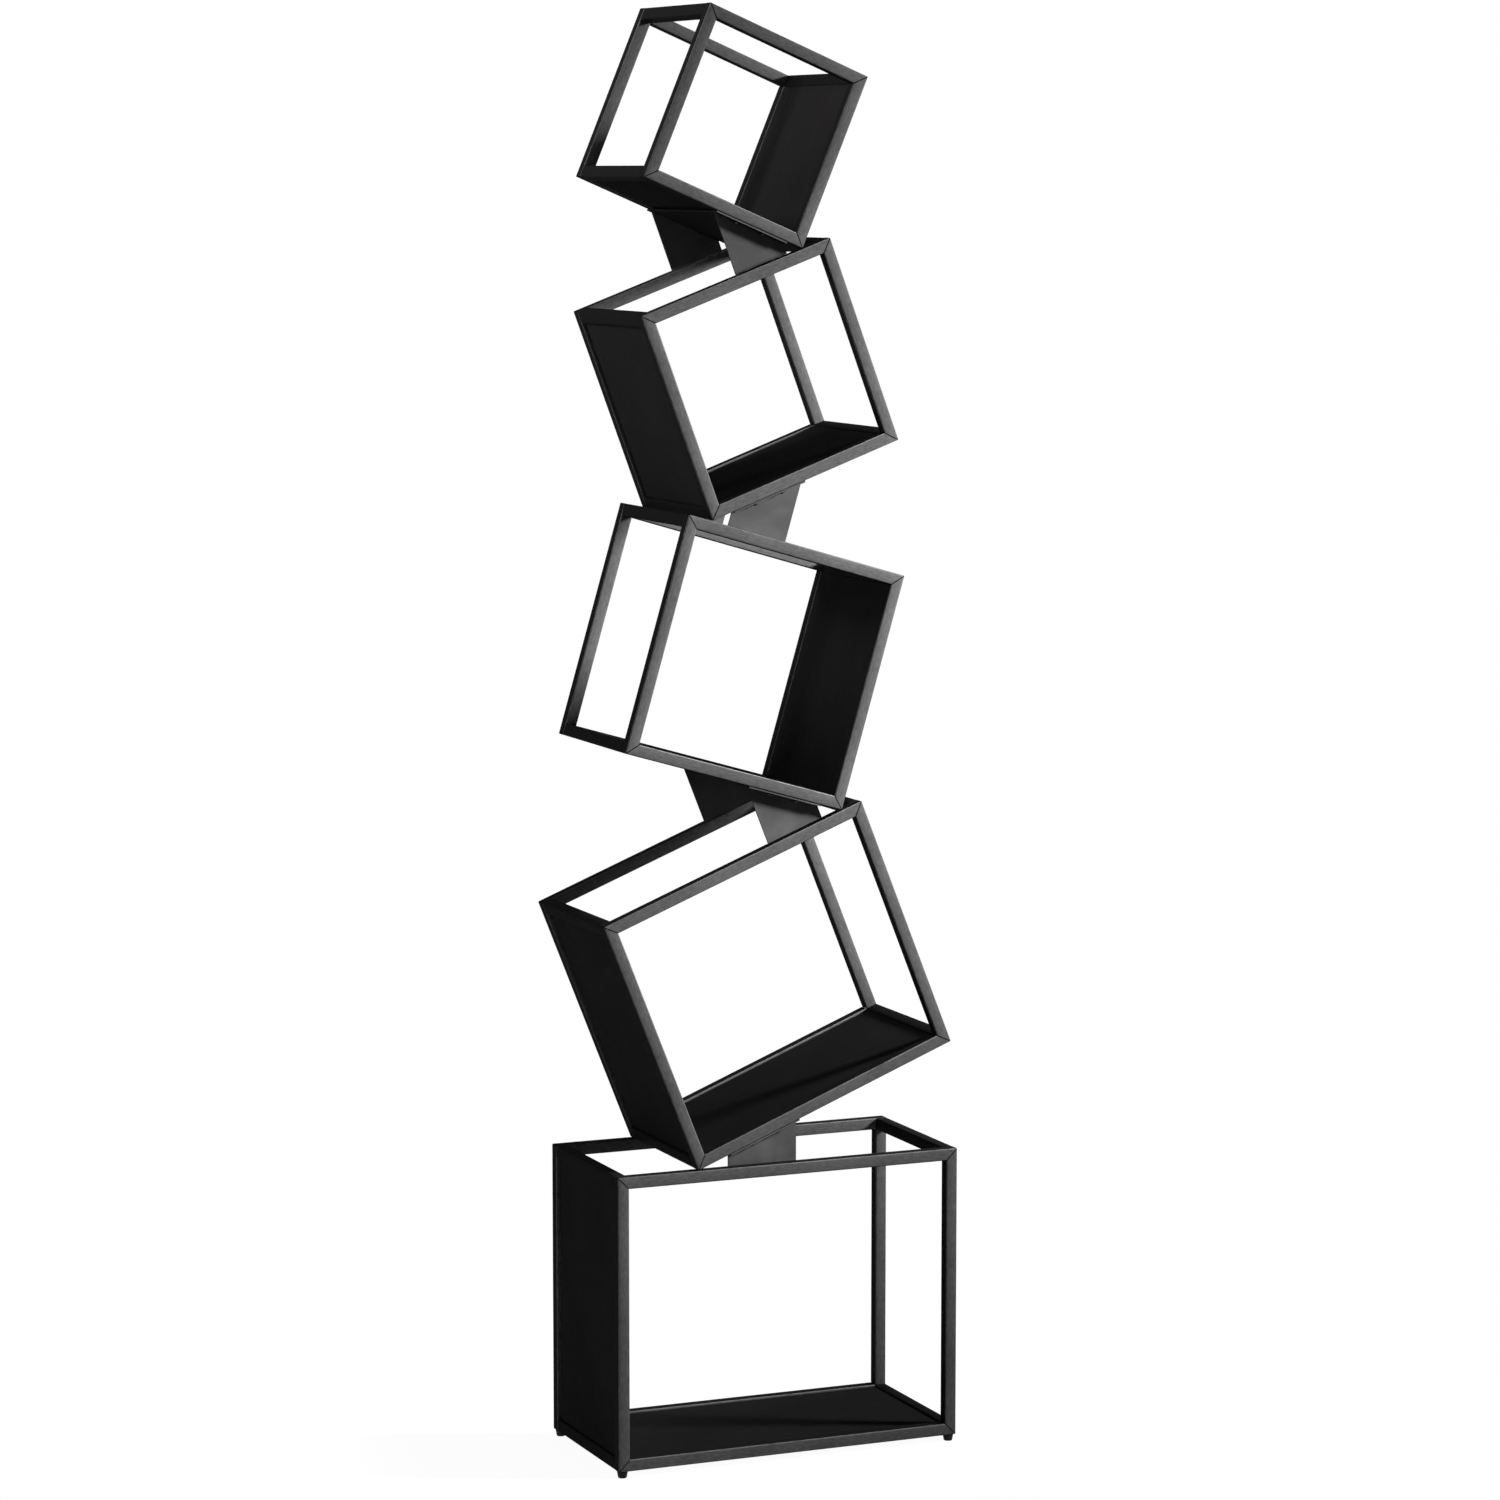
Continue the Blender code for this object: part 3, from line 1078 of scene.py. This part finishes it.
@dataclass(frozen=True)
class Bracket:
    """The welded bracket in the wedge between two boxes, and its screws."""

    box: OpenBox
    lower: OpenBox
    sheet: float = 0.002
    length: float = 0.100
    behind_front: float = 0.001
    gusset_inside: float = 0.0005
    screw_spacing: float = 0.0375
    cut_edge: float = 0.0003
    # How much painted highlight the eased cut edges get
    cut_edge_highlight: float = 0.5

    def build(self, place: Matrix) -> None:
        """Builds the plate with its two gussets, and the four screws.

        Args:
            place: The upper box's frame in the CAD frame.
        """
        body = self.plate()
        from_end = TUBE.size - TUBE.corner - self.sheet
        for y in (from_end, DEPTH - from_end - self.sheet):
            body.take(self.gusset(y))
        name = self.box.name
        body.put(place).finish(f"{name}_plate_bracket", SHEET, BODY, f"{name}_bracket")
        self.build_screws(place)

    def ends(self, inside: float = 0.0) -> list[float]:
        """X of the bracket's two ends, or of points this far inside them."""
        distances = (inside, self.length - inside)
        return [self.box.under(self.box.bracket_start + distance) for distance in distances]

    def plate(self) -> Shape:
        """Makes the sheet under the upper box.

        Returns:
            The shape, in that box's frame.
        """
        left, right = sorted(self.ends())
        top = -CLEARANCE
        low = (left, self.behind_front, top - self.sheet)
        return self.eased(Shape.block(low, (right, DEPTH - self.behind_front, top)))

    def gusset(self, near: float) -> Shape:
        """Makes one sheet that stands on the lower box.

        Args:
            near: Y of its front.

        Returns:
            The shape, in the upper box's frame.
        """
        wedge = math.radians(abs(self.box.lean - self.lower.lean))
        corner = Vector((self.box.stood_on, 0.0))
        along = Vector((self.box.away * math.cos(wedge), -math.sin(wedge)))
        in_plate = -CLEARANCE - self.sheet / 2
        tops = [Vector((x, in_plate)) for x in self.ends(self.gusset_inside)]
        seats = [corner + along * (top - corner).dot(along) for top in tops]
        return self.eased(Shape.sheet((*tops, *reversed(seats)), near, self.sheet))

    def eased(self, sheet: Shape) -> Shape:
        """Eases the edges of a sheet and lays its map.

        Args:
            sheet: The sheet.

        Returns:
            The same shape.
        """
        sheet.soften(sheet.bm.edges[:], self.cut_edge, highlighted=self.cut_edge_highlight)
        sheet.flow_along(0)
        return sheet

    def build_screws(self, place: Matrix) -> None:
        """Builds the screws, of which the front pair stands for CAD nodes.

        Args:
            place: The upper box's frame in the CAD frame.
        """
        seat = -2 * CLEARANCE - self.sheet
        places = zip(("inner", "outer"), self.ends((self.length - self.screw_spacing) / 2))
        for (word, x), end in product(places, End):
            y = TUBE.middle(DEPTH, end is End.BACK)
            screw = SCREW.shape().put(place @ Matrix.Translation((x, y, seat)))
            name = f"{self.box.name}_{end.value}_{word}_pan_screw"
            nodes = [f"{self.box.name}_bracket_{word}_screw"] if end is End.FRONT else []
            screw.finish(name, BLACK_OXIDE, BODY, *nodes)


@dataclass(frozen=True)
class LevellingFoot:
    """A tapered moulded pad on a threaded steel stem."""

    top_radius: float = 0.0068
    top_edge: float = 0.0003
    bottom_radius: float = 0.0055
    rounding: float = 0.0008
    round_steps: int = 4
    recess: float = 0.0012
    recess_edge: float = 0.0002
    flange_radius: float = 0.0055
    stem_radius: float = 0.003
    stem_length: float = 0.016
    stem_gap: float = 0.00002
    pitch: float = 0.001
    thread_depth: float = 0.0004
    sides: int = 40

    def build(self, corner: str, place: Matrix) -> None:
        """Builds one foot.

        Args:
            corner: The words for its corner of the bookcase.
            place: Its frame in the CAD frame, with the tube's underside at Z = 0.
        """
        body = f"{corner}_foot"
        pad = Shape.turned(self.pad_profile(), self.sides).put(place)
        pad.finish(f"{body}_pad", MOULDED_PLASTIC, body, f"levelling_foot_{corner}")
        stem = Shape.turned(self.stem_profile(), self.sides).put(place)
        stem.finish(f"{body}_stem", ZINC_PLATE, body)

    def pad_profile(self) -> Profile:
        """Draws the pad.

        Returns:
            Radius and height of each point.
        """
        top = -CLEARANCE
        recess = self.flange_radius + CLEARANCE
        low = -FOOT_HEIGHT
        return [
            (0.0, top - self.recess),
            (recess, top - self.recess),
            (recess, top - self.recess_edge),
            (recess + self.recess_edge, top),
            (self.top_radius - self.top_edge, top),
            (self.top_radius, top - self.top_edge),
            *quarter_round(self.bottom_radius, low, self.rounding, self.round_steps),
            (0.0, low),
        ]

    def stem_profile(self) -> Profile:
        """Draws the stem, with the ridges of its thread.

        Returns:
            Radius and height of each point.
        """
        foot = -CLEARANCE - self.recess + self.stem_gap
        turns = int((self.stem_length - foot) / self.pitch)
        root = self.stem_radius - self.thread_depth
        points = [(0.0, foot), (root, foot)]
        for turn in range(turns):
            z = foot + turn * self.pitch
            points += [(self.stem_radius, z + self.pitch / 2), (root, z + self.pitch)]
        return points + [(root - self.thread_depth, self.stem_length), (0.0, self.stem_length)]


FOOT = LevellingFoot()


# The stack


@dataclass(frozen=True)
class Bookcase:
    """The whole stack, from the floor up."""

    # Name, width, height, lean, closed side, where its corner stands, where its bracket starts
    boxes: tuple[OpenBox, ...] = (
        OpenBox("bottom_box", 0.460, 0.370, 0.0, Side.LEFT),
        OpenBox("second_box", 0.370, 0.335, 21.8, Side.LEFT, 0.107, 0.0465),
        OpenBox("third_box", 0.300, 0.300, -16.3, Side.RIGHT, 0.0285, 0.029),
        OpenBox("fourth_box", 0.265, 0.265, 20.5, Side.LEFT, 0.032, 0.031),
        OpenBox("top_box", 0.225, 0.225, -22.7, Side.RIGHT, 0.039, 0.0215),
    )

    def places(self) -> list[Matrix]:
        """Works out where each box stands.

        Returns:
            The boxes' frames in the CAD frame, centred over the origin.
        """
        ground = Matrix.Translation((0.0, -DEPTH / 2, FOOT_HEIGHT))
        places = [ground @ self.boxes[0].leaning()]
        for lower, box in zip(self.boxes, self.boxes[1:]):
            seat_x = box.stands_in if box.away > 0 else lower.width - box.stands_in
            seat = places[-1] @ Vector((seat_x, 0.0, lower.height))
            clear = places[-1].to_3x3() @ Vector((0.0, 0.0, CLEARANCE))
            places.append(Matrix.Translation(seat + clear) @ box.leaning())
        outer = [
            (place @ Vector((x, 0.0, z))).x
            for place, box in zip(places, self.boxes)
            for x in (0.0, box.width)
            for z in (0.0, box.height)
        ]
        centre = Matrix.Translation((-(min(outer) + max(outer)) / 2, 0.0, 0.0))
        return [centre @ place for place in places]

    def build(self) -> None:
        """Builds every piece."""
        places = self.places()
        for box, place in zip(self.boxes, places):
            box.build(place)
        for lower, box, place in zip(self.boxes, self.boxes[1:], places[1:]):
            Bracket(box, lower).build(place)
        for end, side in product(End, Side):
            x = TUBE.middle(self.boxes[0].width, side is Side.RIGHT)
            y = TUBE.middle(DEPTH, end is End.BACK)
            at = places[0] @ Matrix.Translation((x, y, 0.0))
            FOOT.build(f"{end.value}_{side.value}", at)

    def dress_inserts(self, nodes: dict[str, Object]) -> None:
        """Gives the CAD nodes of the threaded inserts their plating.

        Args:
            nodes: The CAD nodes by name.
        """
        for name, node in nodes.items():
            if name.startswith("threaded_insert"):
                node.data.materials.clear()
                node.data.materials.append(ZINC_PLATE.material())
                LOG.info("%s keeps its CAD shape", name)


# The studio


@dataclass(frozen=True)
class Softbox:
    """A soft lamp, turned towards a point."""

    name: str
    place: Point
    aim: Point
    width: float
    height: float
    power: float
    spread: float = 180.0

    def build(self) -> None:
        """Adds the lamp, which the camera doesn't see."""
        lamp = bpy.data.lights.new(self.name, "AREA")
        lamp.shape = "RECTANGLE"
        lamp.size, lamp.size_y = self.width, self.height
        lamp.energy = self.power
        lamp.spread = math.radians(self.spread)
        holder = add_object(self.name, lamp)
        holder.location = self.place
        toward = Vector(self.aim) - Vector(self.place)
        holder.rotation_euler = toward.to_track_quat("-Z", "Y").to_euler()
        holder.visible_camera = False
        LOG.info("%s stands at %s", self.name, self.place)


class Backdrop(Wiring):
    """The nodes of the floor or the world, which light the object plainly and show white."""

    def __init__(self, owner: Material | World) -> None:
        """Starts without any node.

        Args:
            owner: The floor's material or the world.
        """
        owner.use_nodes = True
        super().__init__(owner.node_tree)
        self.tree.nodes.clear()

    def show(self, light: NodeSocket, white: NodeSocket, share: object, output: str) -> None:
        """Shows white to camera, glossy and transmission rays, and the light to all others.

        Args:
            light: The shader of the light.
            white: The shader of the white.
            share: How much of the white those rays see, a socket or a number.
            output: Type of the output node.
        """
        path = self.add("ShaderNodeLightPath")
        seen = path.outputs["Is Camera Ray"]
        for name in ("Is Glossy Ray", "Is Transmission Ray"):
            seen = self.math("MAXIMUM", seen, path.outputs[name])
        mix = self.add("ShaderNodeMixShader", Fac=self.math("MULTIPLY", seen, share))
        self.plug(mix.inputs[1], light)
        self.plug(mix.inputs[2], white)
        self.add(output, Surface=mix.outputs["Shader"])


@dataclass(frozen=True)
class Studio:
    """White floor and surroundings, soft light and the camera."""

    # Name, place, aim, width, height, watts, spread
    softboxes: tuple[Softbox, ...] = (
        Softbox("key_softbox", (3.08, -1.44, 2.39), (0.31, 0.0, 1.12), 0.55, 0.65, 10.2, 34.0),
        Softbox("top_softbox", (0.3, -0.3, 6.0), (0.0, 0.0, 1.0), 2.5, 2.5, 18.0),
        Softbox("left_softbox", (-4.5, 0.6, 1.0), (0.0, 0.0, 1.0), 1.5, 1.5, 16.0),
        Softbox("upper_left_softbox", (-2.5, 0.5, 2.6), (0.0, 0.0, 1.75), 0.6, 0.6, 1.3, 40.0),
    )
    floor_size: float = 60.0
    floor_colour: Colour = (0.62, 0.62, 0.62)
    floor_shadow: float = 0.35
    shadow_near: float = 0.4
    shadow_far: float = 0.9
    white_near: float = 1.48
    fill: float = 0.016
    camera_place: Point = (-2.3035, -5.4007, 1.6003)
    camera_yaw: float = 23.1265
    camera_pitch: float = 6.9653
    lens: float = 113.5103
    sensor: float = 36.0

    def build(self) -> None:
        """Adds the floor, the world, the lamps and the camera."""
        self.build_floor()
        self.build_world()
        for softbox in self.softboxes:
            softbox.build()
        self.build_camera()
        bpy.context.scene.view_settings.view_transform = "Standard"

    def build_floor(self) -> None:
        """Adds a pale floor that shows white and keeps a soft shadow."""
        bm = bmesh.new()
        bmesh.ops.create_grid(bm, x_segments=1, y_segments=1, size=self.floor_size / 2)
        add_mesh("floor", bm, self.floor_material())

    def floor_material(self) -> Material:
        """The floor's paint, and white where it is seen or mirrored.

        Near the bookcase the white is mixed with the paint, which keeps the shadow.

        Returns:
            The material.
        """
        material = bpy.data.materials.new("pale_floor")
        drop = Backdrop(material)
        place = drop.add("ShaderNodeTexCoord").outputs["Object"]
        length = drop.add("ShaderNodeVectorMath", operation="LENGTH", Vector=place)
        far_off = drop.spread(length.outputs["Value"], self.shadow_near, self.shadow_far)
        paint = drop.add("ShaderNodeBsdfDiffuse", Color=self.floor_colour)
        white = drop.add("ShaderNodeEmission", Strength=drop.between(far_off, self.white_near, 1.0))
        drop.show(
            paint.outputs["BSDF"],
            white.outputs["Emission"],
            drop.between(far_off, 1.0 - self.floor_shadow, 1.0),
            "ShaderNodeOutputMaterial",
        )
        material.cycles.emission_sampling = "NONE"
        return material

    def build_world(self) -> None:
        """Surroundings that show white and light the object softly."""
        world = bpy.data.worlds.new("studio")
        bpy.context.scene.world = world
        drop = Backdrop(world)
        light, white = (
            drop.add("ShaderNodeBackground", Strength=strength, Color=WHITE).outputs["Background"]
            for strength in (self.fill, 1.0)
        )
        drop.show(light, white, 1.0, "ShaderNodeOutputWorld")
        world.cycles.sampling_method = "NONE"

    def build_camera(self) -> None:
        """Adds the camera at the photograph's viewing angle."""
        data = bpy.data.cameras.new("camera")
        data.lens = self.lens
        data.sensor_width = self.sensor
        camera = add_object("camera", data)
        camera.location = self.camera_place
        pitch = math.radians(90.0 - self.camera_pitch)
        camera.rotation_euler = (pitch, 0.0, -math.radians(self.camera_yaw))
        bpy.context.scene.camera = camera


def main() -> None:
    """Builds the dressed bookcase and its studio around the CAD frame."""
    logging.basicConfig(level=logging.INFO, format="%(name)s: %(message)s")
    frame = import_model()
    Studio().build()
    bookcase = Bookcase()
    bookcase.build()
    bookcase.dress_inserts(frame["nodes"])


if __name__ == "__main__":
    main()
